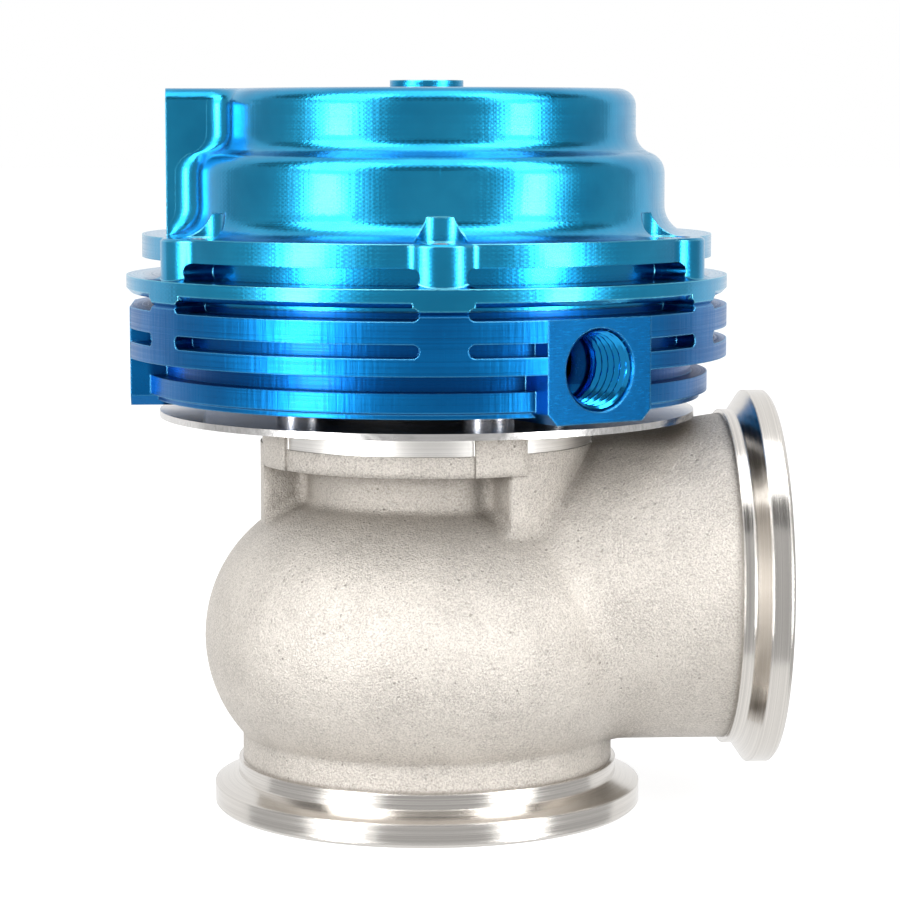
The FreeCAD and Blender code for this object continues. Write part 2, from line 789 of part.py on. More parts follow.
def cap_port_boss():
    """The slab on the bell that carries the cap's own port, its two long upper edges rounded."""
    low = flange_top_z - boss_sink
    inner = bell_high_r - bell_wall
    slab = Part.makeBox(boss_x - inner, boss_w, cap_top_z - low, Vector(-boss_x, -boss_w / 2, low))
    edges = [e for e in slab.Edges if e.BoundBox.ZMin > cap_top_z - 0.01 and e.BoundBox.XLength > 1]
    return slab.makeFillet(boss_edge, edges)


def actuator_cap():
    cap = lathe_wire(bell_outline()).fuse(lobed_fin())
    cap = cap.fuse(disc(pad_r, cap_top_z - 1, 1 + pad_h))
    cap = cap.fuse(cap_port_boss())
    for start, end in post_gaps(post_half_w, cap_groove_h):
        cap = cap.cut(slot_groove(start, end, cap_groove_z, cap_groove_h, cap_fin_r, cap_groove_depth))
    rim_cut = lathe([
        (body_r - fin_bevel, joint_z + joint_groove_high),
        (body_r + 1, joint_z + joint_groove_high),
        (body_r + 1, joint_z + joint_groove_high + fin_bevel + 1),
    ])
    low = joint_z - joint_groove_high
    root_r = body_r - joint_groove_depth
    for start, end in post_gaps(post_half_w, joint_groove_low * 2):
        cap = cap.cut(slot_groove(start, end, low, joint_groove_high * 2, body_r, joint_groove_depth))
        cap = cap.cut(rim_cut.common(sector(root_r, body_r + 3, low, cap_groove_z - low, start, end)))
    for angle in post_angles:
        over = Part.makeCylinder(spotface_r, spotface_h, around(angle, cap_screw_circle_r, flange_top_z))
        seat = Part.makeCylinder(cap_head_r + head_clear, spotface_h,
                                 around(angle, cap_screw_circle_r, cap_head_z))
        hole = Part.makeCylinder(cap_screw_r + screw_clear, flange_top_z - joint_z + 1,
                                 around(angle, cap_screw_circle_r, joint_z - 1))
        cap = cap.cut([over, seat, hole])

    inner_low = bell_low_r - bell_wall
    inner_high = bell_high_r - bell_wall
    step_z = joint_z + bell_shoulder - bell_wall
    hollow = lathe([
        (0, joint_z - 1),
        (inner_low, joint_z - 1),
        (inner_low, step_z),
        (inner_high, step_z + inner_low - inner_high),
        (inner_high, roof_z - 2),
        (inner_high - 2, roof_z),
        (0, roof_z),
    ])
    clamp_seat = disc(clamp_r + seal_clear, clamp_z, diaphragm_t)
    z = cap_top_z - cap_port_drop
    port = radial_cylinder(cap_port, boss_x - cap_port_depth, boss_x + 1, z, cap_port_r)
    mouth = Part.makeCone(cap_port_r, cap_port_r + cap_port_mouth + 1, cap_port_mouth + 1,
                          around(cap_port, boss_x - cap_port_mouth, z), outward(cap_port))
    air = radial_cylinder(cap_port, inner_high - 4, boss_x - 1, z, cap_air_r)
    return cap.cut([hollow, clamp_seat, port, mouth, air])


def cap_screws():
    screws = []
    for angle in post_angles:
        screw = socket_screw(cap_screw_r, cap_screw_l, cap_head_r, cap_head_h, cap_socket_af)
        screw.translate(around(angle, cap_screw_circle_r, cap_head_z))
        screws.append(screw)
    return group(screws)


# ---------------------------------------------------------------- diaphragm and moving stack
def diaphragm():
    """A moulded disc: flat centre, one roll that stands up between cup and cap, flat clamped rim."""
    t = diaphragm_t
    out_r, in_r = roll_out_r, roll_in_r
    crest_z = clamp_z + t
    centre = ((out_r + in_r) / 2, crest_z)
    big = roll_width / 2 + t / 2
    small = roll_width / 2 - t / 2
    bore = stem_thread_r + slip_clear
    z = diaphragm_z
    outline = [
        line((bore, z), (in_r + t / 2, z)),
        line((in_r + t / 2, z), (in_r + t / 2, crest_z)),
        arc((in_r + t / 2, crest_z), (centre[0], crest_z + small), (out_r - t / 2, crest_z)),
        line((out_r - t / 2, crest_z), (out_r - t / 2, clamp_z)),
        line((out_r - t / 2, clamp_z), (clamp_r, clamp_z)),
        line((clamp_r, clamp_z), (clamp_r, clamp_z + t)),
        line((clamp_r, clamp_z + t), (out_r + t / 2, clamp_z + t)),
        arc((out_r + t / 2, crest_z), (centre[0], crest_z + big), (in_r - t / 2, crest_z)),
        line((in_r - t / 2, crest_z), (in_r - t / 2, z + t)),
        line((in_r - t / 2, z + t), (bore, z + t)),
        line((bore, z + t), (bore, z)),
    ]
    return lathe_wire(outline)


def diaphragm_plate():
    bore = stem_thread_r + slip_clear
    return lathe([
        (bore, shoulder_z),
        (plate_r - plate_t / 2, shoulder_z),
        (plate_r, shoulder_z + plate_t / 2),
        (plate_r, shoulder_z + plate_t),
        (bore, shoulder_z + plate_t),
    ])


def spring_cup():
    bore = stem_thread_r + slip_clear
    return lathe([
        (bore, cup_z),
        (cup_r - 1, cup_z),
        (cup_r, cup_z + 1),
        (cup_r, cup_z + cup_h),
        (cup_r - cup_wall, cup_z + cup_h),
        (cup_r - cup_wall, cup_z + cup_t),
        (bore, cup_z + cup_t),
    ])


def stem_washer():
    return ring(stem_thread_r + slip_clear, washer_r, spring_z, washer_t)


def stem_nut():
    """A hexagon nut with a round locking collar on top."""
    hex_h = nut_h * 0.75
    across_corners = 2 * nut_af / math.sqrt(3)
    body = hex_prism(nut_af, nut_z, hex_h)
    crown = Part.makeCone(across_corners / 2 + 1.2, across_corners / 2 - 1.2, hex_h + 1.5,
                          Vector(0, 0, nut_z))
    body = body.common(crown)
    body = body.fuse(disc(nut_af * 0.42, nut_z, nut_h))
    return body.cut(disc(stem_thread_r + thread_clear, nut_z - 1, nut_h + 2))


def spring(mean_r, wire_r, coils):
    """A coil spring between the cup and the cap's roof."""
    low = spring_z + wire_r + seal_clear
    height = roof_z - wire_r - seal_clear - low
    helix = Part.makeHelix(height / coils, height, mean_r)
    helix.translate(Vector(0, 0, low))
    circle = Part.makeCircle(wire_r, Vector(mean_r, 0, low), Vector(0, 1, 0))
    return Part.Wire(helix.Edges).makePipeShell([Part.Wire(circle)], True, True)


# ---------------------------------------------------------------- export
PIECES = {
    "valve_housing": valve_housing,
    "valve_seat": valve_seat,
    "valve": valve,
    "stem_guide": stem_guide,
    "heat_shield": heat_shield,
    "standoffs": standoffs,
    "insulator": insulator,
    "mount_screws": mount_screws,
    "actuator_body": actuator_body,
    "jacket_cover": jacket_cover,
    "stem_seal": stem_seal,
    "seal_retainer": seal_retainer,
    "seal_circlip": seal_circlip,
    "actuator_cap": actuator_cap,
    "cap_screws": cap_screws,
    "diaphragm": diaphragm,
    "diaphragm_plate": diaphragm_plate,
    "spring_cup": spring_cup,
    "stem_washer": stem_washer,
    "stem_nut": stem_nut,
}

for name, make in PIECES.items():
    save(name, make())
save("jacket_oring_outer", jacket_oring(cover_out_r - oring_d / 2))
save("jacket_oring_inner", jacket_oring(cover_in_r + oring_d / 2))
save("spring_outer", spring(outer_spring_r, outer_wire_r, outer_coils))
save("spring_middle", spring(middle_spring_r, middle_wire_r, middle_coils))
save("spring_inner", spring(inner_spring_r, inner_wire_r, inner_coils))
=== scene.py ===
"""Exhaust wastegate: a blue diaphragm actuator on a cast elbow with V-band flanges.

Metres. Z runs up the valve's axis from the inlet flange's face, +X along the outlet,
and angles about Z are measured from -Y, the front, towards +X.
"""
import bpy
import numpy as np
from mathutils import Matrix, Vector


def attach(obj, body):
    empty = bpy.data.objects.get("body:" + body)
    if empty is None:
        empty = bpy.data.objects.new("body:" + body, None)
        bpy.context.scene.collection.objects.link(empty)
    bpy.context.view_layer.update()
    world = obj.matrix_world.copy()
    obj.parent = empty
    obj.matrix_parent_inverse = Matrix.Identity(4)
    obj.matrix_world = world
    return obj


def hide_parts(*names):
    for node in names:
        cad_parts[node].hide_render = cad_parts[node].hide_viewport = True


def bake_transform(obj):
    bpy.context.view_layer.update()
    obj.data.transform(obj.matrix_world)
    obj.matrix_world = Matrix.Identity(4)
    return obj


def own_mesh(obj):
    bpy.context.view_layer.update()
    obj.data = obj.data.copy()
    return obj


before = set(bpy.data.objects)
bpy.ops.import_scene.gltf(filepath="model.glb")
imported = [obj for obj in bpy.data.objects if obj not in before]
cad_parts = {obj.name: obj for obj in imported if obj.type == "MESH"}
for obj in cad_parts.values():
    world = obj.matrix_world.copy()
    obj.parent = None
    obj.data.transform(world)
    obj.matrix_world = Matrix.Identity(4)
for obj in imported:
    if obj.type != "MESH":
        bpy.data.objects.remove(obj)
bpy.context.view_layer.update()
mm = 0.001


# Valve housing. One investment casting in stainless steel, grit blasted, with both V-band
# flanges, the top flange's band and the bores turned after casting.

def read_points(items, key):
    """One coordinate triple per vertex or face, as an (n, 3) array."""
    flat = np.empty(len(items) * 3)
    items.foreach_get(key, flat)
    return flat.reshape(-1, 3)


def smooth_skin(node, name):
    """A piece with the node's triangles, where corners that share a cell of the weld become one."""
    weld = 2e-6
    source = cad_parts[node].data
    points = read_points(source.vertices, "co")
    corners = np.empty(len(source.loops), dtype=np.int64)
    source.loops.foreach_get("vertex_index", corners)
    cells = np.round(points / weld).astype(np.int64)
    _, first, same = np.unique(cells, axis=0, return_index=True, return_inverse=True)
    faces = same.reshape(-1)[corners].reshape(-1, 3)
    whole = (faces[:, 0] != faces[:, 1]) & (faces[:, 1] != faces[:, 2]) & (faces[:, 0] != faces[:, 2])
    return mesh_piece(name, points[first], faces[whole])


def mesh_piece(name, points, faces, crease=32.0):
    """A mesh object of points (n, 3) and faces, linked to the scene. It is smooth where
    neighbours bend less than the crease in degrees, and weighted so that flat faces stay flat."""
    mesh = bpy.data.meshes.new(name)
    mesh.from_pydata(np.asarray(points, dtype=float), [], list(faces))
    mesh.validate()
    mesh.shade_smooth()
    mesh.set_sharp_from_angle(angle=np.radians(crease))
    piece = bpy.data.objects.new(name, mesh)
    bpy.context.scene.collection.objects.link(piece)
    weighted = piece.modifiers.new("flat faces", "WEIGHTED_NORMAL")
    weighted.keep_sharp = True
    return piece


def grid_faces(rows, columns, ring=False):
    """Quads over a grid of points whose rows are closed. In a ring the last row meets the first."""
    index = np.arange(rows * columns).reshape(rows, columns)
    over = np.roll(index, -1, axis=1)
    faces = np.stack([index, np.roll(index, -1, axis=0), np.roll(over, -1, axis=0), over], axis=-1)
    return (faces if ring else faces[:-1]).reshape(-1, 4)


def new_group(name, inputs, masks):
    """An empty shader group with {name: default} inputs, a Normal output and an output per mask."""
    group = bpy.data.node_groups.new(name, "ShaderNodeTree")
    for key, default in inputs.items():
        socket = group.interface.new_socket(name=key, in_out="INPUT", socket_type="NodeSocketFloat")
        socket.default_value = default
    group.interface.new_socket(name="Normal", in_out="OUTPUT", socket_type="NodeSocketVector")
    for key in masks:
        group.interface.new_socket(name=key, in_out="OUTPUT", socket_type="NodeSocketFloat")
    return group, group.nodes.new("NodeGroupInput"), group.nodes.new("NodeGroupOutput")


def add(tree, kind, settings=None, **values):
    """A node of that kind with its settings and inputs. An input is named, or is i and its number,
    and its value is a plain one or the socket that feeds it."""
    node = tree.nodes.new("ShaderNode" + kind)
    for key, value in (settings or {}).items():
        setattr(node, key, value)
    for key, value in values.items():
        numbered = key[0] == "i" and key[1:].isdigit()
        socket = node.inputs[int(key[1:]) if numbered else key.replace("_", " ")]
        if isinstance(value, bpy.types.NodeSocket):
            tree.links.new(value, socket)
        else:
            socket.default_value = value
    return node


def math_node(tree, operation, a, b=0.0):
    """One sum of two values, or of one where the operation takes one."""
    return add(tree, "Math", {"operation": operation}, i0=a, i1=b).outputs[0]


def flat_length(tree, a, b):
    """The length of the flat vector (a, b)."""
    return math_node(tree, "SQRT", math_node(tree, "ADD", math_node(tree, "MULTIPLY", a, a),
                                             math_node(tree, "MULTIPLY", b, b)))


def mask(tree, value, low, high):
    """Nought at low and one at high, and a straight line between them."""
    return add(tree, "MapRange", Value=value, From_Min=low, From_Max=high).outputs[0]


def send_out(group, out, **sockets):
    """Link each socket to the group's output of that name."""
    for key, socket in sockets.items():
        group.links.new(socket, out.inputs[key])


def grain_group():
    """Blasted casting skin: soft lumps, fine grit and scattered pits over rounded edges, as a
    bump with masks of the grit, the pits and, by ambient occlusion, the surface away from inside
    corners, which is used to paint shade into those corners."""
    group, given, out = new_group(
        "casting grain", {"Lump Size": 1.6, "Grit Size": 0.30, "Depth": 1.0},
        ("Grit", "Pits", "Open", "Blotch"))
    place = add(group, "TexCoord").outputs["Object"]
    blotch = add(group, "TexNoise", Vector=place, Scale=110.0, Detail=5.0, Roughness=0.65).outputs[0]
    blotch = math_node(group, "SUBTRACT", blotch, 0.5)
    # ambient occlusion: a mask of the open surface, whose inverse paints shade into the inside corners
    seen = add(group, "AmbientOcclusion", {"samples": 8}, Distance=5 * mm).outputs["AO"]
    seen = mask(group, seen, 0.35, 0.95)
    lump_scale = math_node(group, "DIVIDE", 1000.0, given.outputs["Lump Size"])
    grit_scale = math_node(group, "DIVIDE", 1000.0, given.outputs["Grit Size"])
    lumps = add(group, "TexNoise", Vector=place, Scale=lump_scale, Detail=3.0, Roughness=0.6).outputs[0]
    grit = add(group, "TexNoise", Vector=place, Scale=grit_scale, Detail=2.0, Roughness=0.7).outputs[0]
    spots = add(group, "TexVoronoi", Vector=place, Scale=math_node(group, "MULTIPLY", lump_scale, 1.3))
    pits = mask(group, spots.outputs["Distance"], 0.22, 0.05)
    some = mask(group, add(group, "TexNoise", Vector=place, Scale=260.0).outputs[0], 0.50, 0.62)
    pits = math_node(group, "MULTIPLY", pits, some)
    height = math_node(group, "ADD", math_node(group, "MULTIPLY", lumps, 0.6),
                       math_node(group, "MULTIPLY", grit, 0.45))
    height = math_node(group, "SUBTRACT", height, math_node(group, "MULTIPLY", pits, 0.35))
    height = math_node(group, "MULTIPLY", height, given.outputs["Depth"])
    soft = add(group, "Bevel", {"samples": 8}, Radius=2 * mm).outputs[0]
    bump = add(group, "Bump", Strength=1.0, Distance=0.25 * mm, Height=height, Normal=soft).outputs[0]
    send_out(group, out, Normal=bump, Grit=grit, Pits=pits, Open=seen, Blotch=blotch)
    return group


casting_grain = grain_group()


def turning_group():
    """Lathe marks: fine rings about an axis through a centre. Ring Axis 0 is Z and 1 is X."""
    group, given, out = new_group(
        "turning marks",
        {"Ring Axis": 0.0, "Centre Height": 0.0, "Feed": 0.18, "Depth": 1.0, "Edge": 0.15 * mm}, ("Rings",))
    place = add(group, "SeparateXYZ", Vector=add(group, "TexCoord").outputs["Object"])
    x, y, z = place.outputs
    z = math_node(group, "SUBTRACT", z, given.outputs["Centre Height"])

    def choose(about_z, about_x):
        axis = given.outputs["Ring Axis"]
        return add(group, "Mix", {"data_type": "FLOAT"}, i0=axis, i2=about_z, i3=about_x).outputs[0]

    radius = flat_length(group, choose(x, z), y)
    scale = math_node(group, "DIVIDE", 1000.0, given.outputs["Feed"])
    ruled = add(group, "CombineXYZ", X=radius, Y=choose(z, x), Z=0.0).outputs[0]
    rings = add(group, "TexNoise", {"noise_dimensions": "2D"}, Vector=ruled, Scale=scale, Detail=2.0,
                Roughness=0.65).outputs[0]
    bands = add(group, "TexNoise", {"noise_dimensions": "2D"}, Vector=ruled,
                Scale=math_node(group, "MULTIPLY", scale, 0.11), Detail=1.0).outputs[0]
    height = math_node(group, "ADD", math_node(group, "MULTIPLY", rings, 0.5), bands)
    height = math_node(group, "MULTIPLY", height, given.outputs["Depth"])
    edge = add(group, "Bevel", {"samples": 4}, Radius=given.outputs["Edge"]).outputs[0]
    bump = add(group, "Bump", Strength=1.0, Distance=0.03 * mm, Height=height, Normal=edge).outputs[0]
    send_out(group, out, Normal=bump, Rings=rings)
    return group


turning_marks = turning_group()


def new_material(name, base, metallic, roughness, **sockets):
    """A material with only a Principled BSDF, its plain values set on its own sockets."""
    material = bpy.data.materials.new(name)
    material.use_nodes = True
    tree = material.node_tree
    shader = tree.nodes["Principled BSDF"]
    shader.inputs["Base Color"].default_value = (*base, 1.0)
    shader.inputs["Metallic"].default_value = metallic
    shader.inputs["Roughness"].default_value = roughness
    for key, value in sockets.items():
        shader.inputs[key.replace("_", " ")].default_value = value
    return material, tree, shader


def place_group(tree, group, **values):
    """A group in a material's tree, with its plain inputs."""
    node = tree.nodes.new("ShaderNodeGroup")
    node.node_tree = group
    for key, value in values.items():
        node.inputs[key.replace("_", " ")].default_value = value
    return node


def ramp(tree, factor, low, high, dark, light):
    """A colour between dark and light as the factor goes from low to high."""
    node = add(tree, "ValToRGB", Fac=factor)
    first, last = node.color_ramp.elements
    first.position, last.position = low, high
    first.color, last.color = (*dark, 1), (*light, 1)
    return node.outputs[0]


def spread(tree, factor, low, high):
    """A roughness between low and high as the factor goes from 0.3 to 0.7."""
    node = add(tree, "MapRange", Value=factor, From_Min=0.3, From_Max=0.7, To_Min=low, To_Max=high)
    return node.outputs[0]


def mix_colour(tree, factor, a, b):
    """Colour a at factor 0 and b at factor 1."""
    return add(tree, "Mix", {"data_type": "RGBA"}, i0=factor, i6=a, i7=b).outputs[2]


def cast_material(name, dark, light, low, high, metallic, **values):
    """Blasted casting: grit, pits and blotches between dark and light, and painted shade in the inside
    corners.
    """
    material, tree, shader = new_material(name, light, metallic, low)
    grain = place_group(tree, casting_grain, **values)
    pits = math_node(tree, "MULTIPLY", grain.outputs["Pits"], 0.35)
    shade = math_node(tree, "SUBTRACT", grain.outputs["Grit"], pits)
    shade = math_node(tree, "ADD", shade, math_node(tree, "MULTIPLY", grain.outputs["Blotch"], 0.4))
    skin = ramp(tree, shade, 0.26, 0.62, dark, light)
    # painted shade: the skin darkens towards this colour where ambient occlusion finds an inside corner
    painted_corner_shade = (0.45 * dark[0], 0.42 * dark[1], 0.38 * dark[2], 1.0)
    tree.links.new(mix_colour(tree, grain.outputs["Open"], painted_corner_shade, skin), shader.inputs["Base Color"])
    tree.links.new(spread(tree, grain.outputs["Grit"], high, low), shader.inputs["Roughness"])
    tree.links.new(grain.outputs["Normal"], shader.inputs["Normal"])
    return material


def turned_material(name, dark, light, low, high, **values):
    """Turned metal: the lathe's rings vary between dark and light and between the roughnesses."""
    material, tree, shader = new_material(name, light, 1.0, low)
    marks = place_group(tree, turning_marks, **values)
    tree.links.new(ramp(tree, marks.outputs["Rings"], 0.3, 0.7, dark, light), shader.inputs["Base Color"])
    tree.links.new(spread(tree, marks.outputs["Rings"], low, high), shader.inputs["Roughness"])
    tree.links.new(marks.outputs["Normal"], shader.inputs["Normal"])
    return material


inlet_top = 7.4 * mm        # upper end of the turned inlet flange
outlet_z = 35.7 * mm        # height of the outlet's axis
outlet_from = 46.6 * mm     # where the turned outlet flange starts
band_low, band_r = 57.9 * mm, 26.2 * mm

cast_skin = cast_material("cast stainless", (0.36, 0.335, 0.305), (0.62, 0.58, 0.53), 0.40, 0.62,
                          0.60, Depth=1.6, Grit_Size=0.28)
turned_finish = ((0.62, 0.59, 0.555), (0.74, 0.71, 0.67), 0.13, 0.24)
turned_inlet = turned_material("turned stainless inlet", *turned_finish, Depth=0.45, Edge=0.5 * mm)
turned_outlet = turned_material("turned stainless outlet", *turned_finish, Depth=0.45, Edge=0.5 * mm,
                                Ring_Axis=1.0, Centre_Height=outlet_z)
faced_band = turned_material("faced stainless band", (0.82, 0.80, 0.77), (0.94, 0.92, 0.89), 0.34, 0.46,
                             Depth=0.6)

housing = smooth_skin("valve_housing", "housing_casting")
for material in (cast_skin, turned_inlet, turned_outlet, faced_band):
    housing.data.materials.append(material)
centre = read_points(housing.data.polygons, "center")
radius = np.hypot(centre[:, 0], centre[:, 1])
finish = np.zeros(len(centre), dtype=np.int32)
finish[centre[:, 2] < inlet_top] = 1
finish[(centre[:, 2] > band_low) & (radius < band_r)] = 3
finish[centre[:, 0] > outlet_from] = 2
housing.data.polygons.foreach_set("material_index", finish)
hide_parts("valve_housing")
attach(housing, "housing")


# Valve, its seat and its guide. The poppet valve and the pressed-in seat are turned from
# stainless bar; the guide is a turned bronze sleeve.

def node_material(node, material):
    """Give a CAD node its finish."""
    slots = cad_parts[node].data.materials
    slots.clear()
    slots.append(material)


hot_steel = turned_material("exhaust-darkened steel", (0.30, 0.25, 0.20), (0.52, 0.47, 0.41), 0.28, 0.46)
bronze = turned_material("guide bronze", (0.45, 0.27, 0.10), (0.66, 0.43, 0.19), 0.25, 0.4, Feed=0.25)
node_material("valve", hot_steel)
node_material("valve_seat", hot_steel)
node_material("stem_guide", bronze)


# Heat shield, stand-offs and insulator. A bright rolled disc lies between the casting and
# the actuator, held off by four short tubes round the screws and a black phenolic ring.

def rolled_material(name, dark, light, low, high):
    """Cold rolled sheet: long faint streaks along X over a fine even grain."""
    material, tree, shader = new_material(name, light, 1.0, low)
    place = add(tree, "TexCoord").outputs["Object"]
    drawn = add(tree, "Mapping", Vector=place, Scale=(40.0, 2600.0, 900.0)).outputs[0]
    streaks = add(tree, "TexNoise", Vector=drawn, Scale=1.0, Detail=3.0, Roughness=0.6).outputs[0]
    tree.links.new(ramp(tree, streaks, 0.3, 0.7, dark, light), shader.inputs["Base Color"])
    tree.links.new(spread(tree, streaks, low, high), shader.inputs["Roughness"])
    bump = add(tree, "Bump", Strength=1.0, Distance=0.006 * mm, Height=streaks)
    tree.links.new(bump.outputs[0], shader.inputs["Normal"])
    return material


rolled_steel = rolled_material("rolled bright steel", (0.62, 0.61, 0.60), (0.78, 0.77, 0.76), 0.14, 0.26)
shield = smooth_skin("heat_shield", "shield_disc")
shield.data.materials.append(rolled_steel)
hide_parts("heat_shield")
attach(shield, "housing")


def moulded_material(name, dark, light, low, high, size, depth):
    """Moulded plastic or rubber: a skin of that grain size and depth, and slow blotches of colour."""
    material, tree, shader = new_material(name, light, 0.0, low)
    place = add(tree, "TexCoord").outputs["Object"]
    skin = add(tree, "TexNoise", Vector=place, Scale=1.0 / size, Detail=3.0, Roughness=0.7).outputs[0]
    blotch = add(tree, "TexNoise", Vector=place, Scale=0.06 / size, Detail=2.0).outputs[0]
    tree.links.new(ramp(tree, blotch, 0.3, 0.7, dark, light), shader.inputs["Base Color"])
    tree.links.new(spread(tree, skin, low, high), shader.inputs["Roughness"])
    bump = add(tree, "Bump", Strength=1.0, Distance=depth, Height=skin)
    tree.links.new(bump.outputs[0], shader.inputs["Normal"])
    return material


phenolic = moulded_material("black phenolic", (0.008, 0.008, 0.009), (0.03, 0.028, 0.026), 0.45, 0.65,
                            0.6 * mm, 0.04 * mm)
bright_steel = turned_material("bright turned steel", (0.58, 0.57, 0.56), (0.74, 0.73, 0.72), 0.16, 0.3)
node_material("standoffs", bright_steel)
node_material("insulator", phenolic)
node_material("mount_screws", bright_steel)


# Actuator body. Turned from aluminium bar with cooling fins, milled grooves and three port
# flats, then anodised deep blue; the cutter's chatter still shows on the turned walls.

groove_low, groove_high = 69.0 * mm, 88.0 * mm      # heights between which the fins' grooves lie
groove_from, groove_floor = 44.6 * mm, 43.6 * mm    # radii over which the painted shade on their floors deepens


def anodised_group():
    """Machined aluminium under dye: ring marks round Z, upright chatter between them, the
    small dimples of a ball cutter, broken edges and a slow cloud in the dye, with masks of the
    edges, for a painted highlight, and of the groove floors, for painted shade."""
    group, given, out = new_group(
        "anodised marks", {"Feed": 0.22, "Chatter": 0.5, "Scallop": 0.0, "Depth": 1.0, "Edge": 0.35 * mm},
        ("Rings", "Cloud", "Corner", "Groove"))
    place = add(group, "TexCoord").outputs["Object"]
    x, y, z = add(group, "SeparateXYZ", Vector=place).outputs
    radius = flat_length(group, x, y)
    scale = math_node(group, "DIVIDE", 1000.0, given.outputs["Feed"])
    ruled = add(group, "CombineXYZ", X=radius, Y=z, Z=0.0).outputs[0]
    rings = add(group, "TexNoise", {"noise_dimensions": "2D"}, Vector=ruled, Scale=scale, Detail=2.0,
                Roughness=0.6).outputs[0]
    angle = math_node(group, "ARCTAN2", x, y)
    steps = add(group, "CombineXYZ", X=math_node(group, "MULTIPLY", angle, 60.0),
                Y=math_node(group, "MULTIPLY", z, 90.0), Z=0.0).outputs[0]
    chatter = add(group, "TexNoise", {"noise_dimensions": "2D"}, Vector=steps, Scale=1.0, Detail=2.0,
                  Roughness=0.5).outputs[0]
    cloud = add(group, "TexNoise", Vector=place, Scale=90.0, Detail=3.0).outputs[0]
    height = math_node(group, "ADD", math_node(group, "MULTIPLY", rings, 0.5),
                       math_node(group, "MULTIPLY", chatter, given.outputs["Chatter"]))
    across = math_node(group, "SINE", math_node(group, "MULTIPLY", angle, 230.0))
    upward = math_node(group, "SINE", math_node(group, "MULTIPLY", z, 9800.0))
    ball = math_node(group, "MULTIPLY", across, upward)
    height = math_node(group, "ADD", height, math_node(group, "MULTIPLY", ball, given.outputs["Scallop"]))
    height = math_node(group, "MULTIPLY", height, given.outputs["Depth"])
    edge = add(group, "Bevel", {"samples": 4}, Radius=given.outputs["Edge"]).outputs[0]
    bump = add(group, "Bump", Strength=1.0, Distance=0.03 * mm, Height=height, Normal=edge).outputs[0]
    # Glint: the edges, where the bevelled normal leaves the surface's own, for a painted highlight
    own = add(group, "NewGeometry").outputs["Normal"]
    alike = add(group, "VectorMath", {"operation": "DOT_PRODUCT"}, i0=edge, i1=own).outputs["Value"]
    # Groove: the groove floors between these heights and radii, for painted shade
    deep = mask(group, radius, groove_from, groove_floor)
    above = math_node(group, "GREATER_THAN", z, groove_low)
    below = math_node(group, "LESS_THAN", z, groove_high)
    groove_shade = math_node(group, "MULTIPLY", deep, math_node(group, "MULTIPLY", above, below))
    send_out(group, out, Normal=bump, Rings=rings, Cloud=cloud, Corner=mask(group, alike, 0.985, 0.80),
             Groove=groove_shade)
    return group


anodised_marks = anodised_group()


def anodised_material(name, dark, light, deep, edge, low, high, coat, **values):
    """Dye between dark and light in a slow cloud, with painted shade on the groove floors and a
    painted highlight on the broken edges."""
    material, tree, shader = new_material(name, light, 1.0, low, Coat_Weight=coat, Coat_Roughness=0.12)
    marks = place_group(tree, anodised_marks, **values)
    dye = ramp(tree, marks.outputs["Cloud"], 0.3, 0.7, dark, light)
    # painted shade: the dye turns towards the darker deep colour on the groove floors
    dye = mix_colour(tree, marks.outputs["Groove"], dye, (*deep, 1.0))
    # painted highlight: the edges turn towards the light edge colour
    edge_highlight = math_node(tree, "MULTIPLY", marks.outputs["Corner"], 0.6)
    tree.links.new(mix_colour(tree, edge_highlight, dye, (*edge, 1.0)), shader.inputs["Base Color"])
    tree.links.new(spread(tree, marks.outputs["Rings"], low, high), shader.inputs["Roughness"])
    tree.links.new(marks.outputs["Normal"], shader.inputs["Normal"])
    return material


# colours: dark, light, the groove floors' painted shade and the edges' painted highlight
deep_blue = anodised_material("deep blue anodising", (0.003, 0.12, 0.36), (0.004, 0.17, 0.47),
                              (0.001, 0.07, 0.26), (0.16, 0.62, 0.90), 0.27, 0.40, 0.06,
                              Chatter=1.3, Depth=0.85)
# painted shade: the flats get a darker copy of the body's dye in place of a darker reflection; their finer
# marks and smoother finish are real
shaded_flat_blue = anodised_material("deep blue on milled flats, painted darker", (0.002, 0.075, 0.22), (0.003, 0.10, 0.28),
                                (0.001, 0.07, 0.26), (0.16, 0.62, 0.90), 0.20, 0.28, 0.06,
                                Chatter=0.25, Depth=0.4)
# painted light: the threads get a much lighter copy of the body's dye to offset the shade inside the bore
lit_thread_blue = anodised_material("deep blue in threads, painted lighter", (0.010, 0.30, 0.70), (0.020, 0.36, 0.80),
                                (0.010, 0.30, 0.70), (0.16, 0.62, 0.90), 0.12, 0.2, 0.1,
                                Chatter=0.0, Depth=0.1, Edge=0.03 * mm)


def port_frame(angle):
    """The port's outward direction, and the two directions across it."""
    turn = np.radians(angle)
    out = np.array([np.sin(turn), -np.cos(turn), 0.0])
    return out, np.array([np.cos(turn), np.sin(turn), 0.0]), np.array([0.0, 0.0, 1.0])


def open_bore(piece, angle, flat, height, core, deep, wide):
    """Move the plain bore's wall out to the thread's outer radius, for the thread to sit in."""
    out, across, up = port_frame(angle)
    points = read_points(piece.data.vertices, "co")
    along = points @ out
    side = points @ across
    rise = points[:, 2] - height
    radius = np.hypot(side, rise)
    wall = (np.abs(radius - core) < 0.05 * mm) & (along > flat - deep - 0.1 * mm) & (along < flat)
    grow = np.where(wall, wide / np.maximum(radius, 1e-9), 1.0)
    points += ((grow - 1) * side)[:, None] * across + ((grow - 1) * rise)[:, None] * up
    piece.data.vertices.foreach_set("co", points.reshape(-1))
    piece.data.update()


